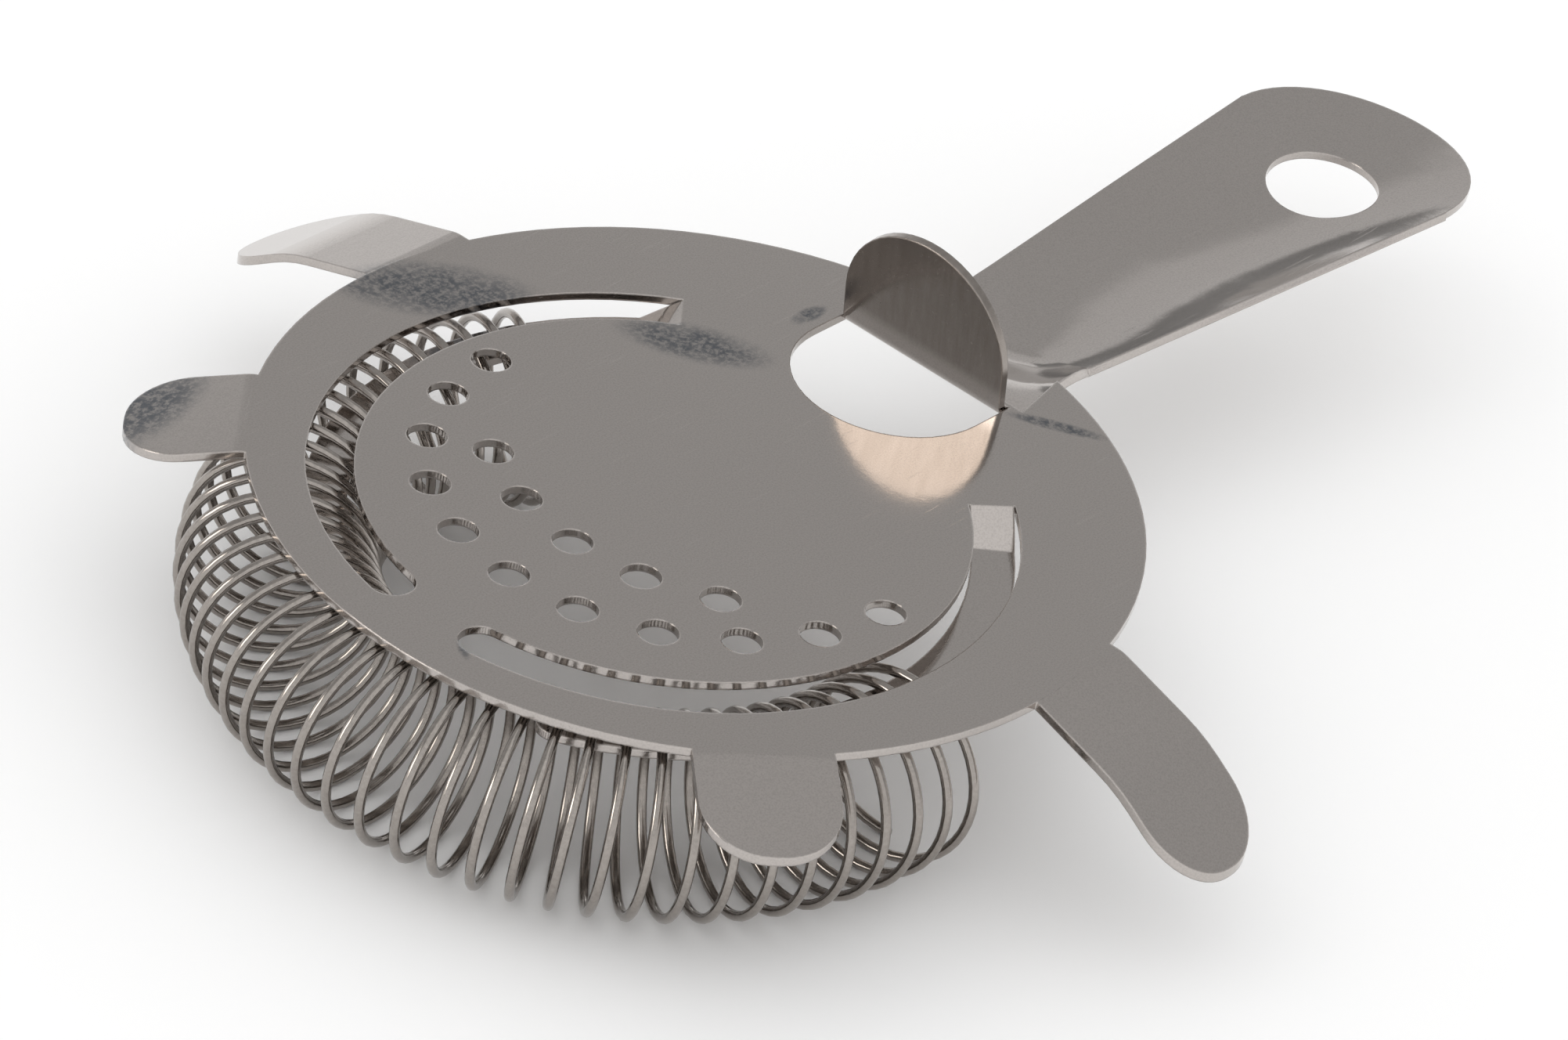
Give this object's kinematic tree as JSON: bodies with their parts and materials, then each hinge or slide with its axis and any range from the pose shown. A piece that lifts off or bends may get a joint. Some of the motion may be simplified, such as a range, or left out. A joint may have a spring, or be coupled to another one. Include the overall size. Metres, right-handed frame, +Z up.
{
  "type": "hawthorne strainer",
  "caption": "Bar strainer pressed from one steel sheet, with drain holes, bent ears, a finger tab and a trough handle, and a coil spring that presses against the inside of a mixing tin",
  "frame": {"origin": "centre of the round plate, on its upper face", "axes": "+X runs from the plate's centre to the handle, +Y across the plate to the left-hand side ear, +Z up, away from the coil spring"},
  "size_m": [0.1703, 0.129, 0.0357],
  "materials": {
    "sheet_steel": "polished stainless steel",
    "spring_wire": "drawn stainless spring wire"
  },
  "bodies": {
    "plate": {"strainer_plate": "sheet_steel"},
    "spring": {"coil_spring": "spring_wire"}
  },
  "joints": [
    {"name": "spring_press", "type": "slide", "parent": "plate", "child": "spring", "axis": [1, 0, 0], "range_m": [0, 0.004], "stiffness_N_per_m": 350}
  ]
}
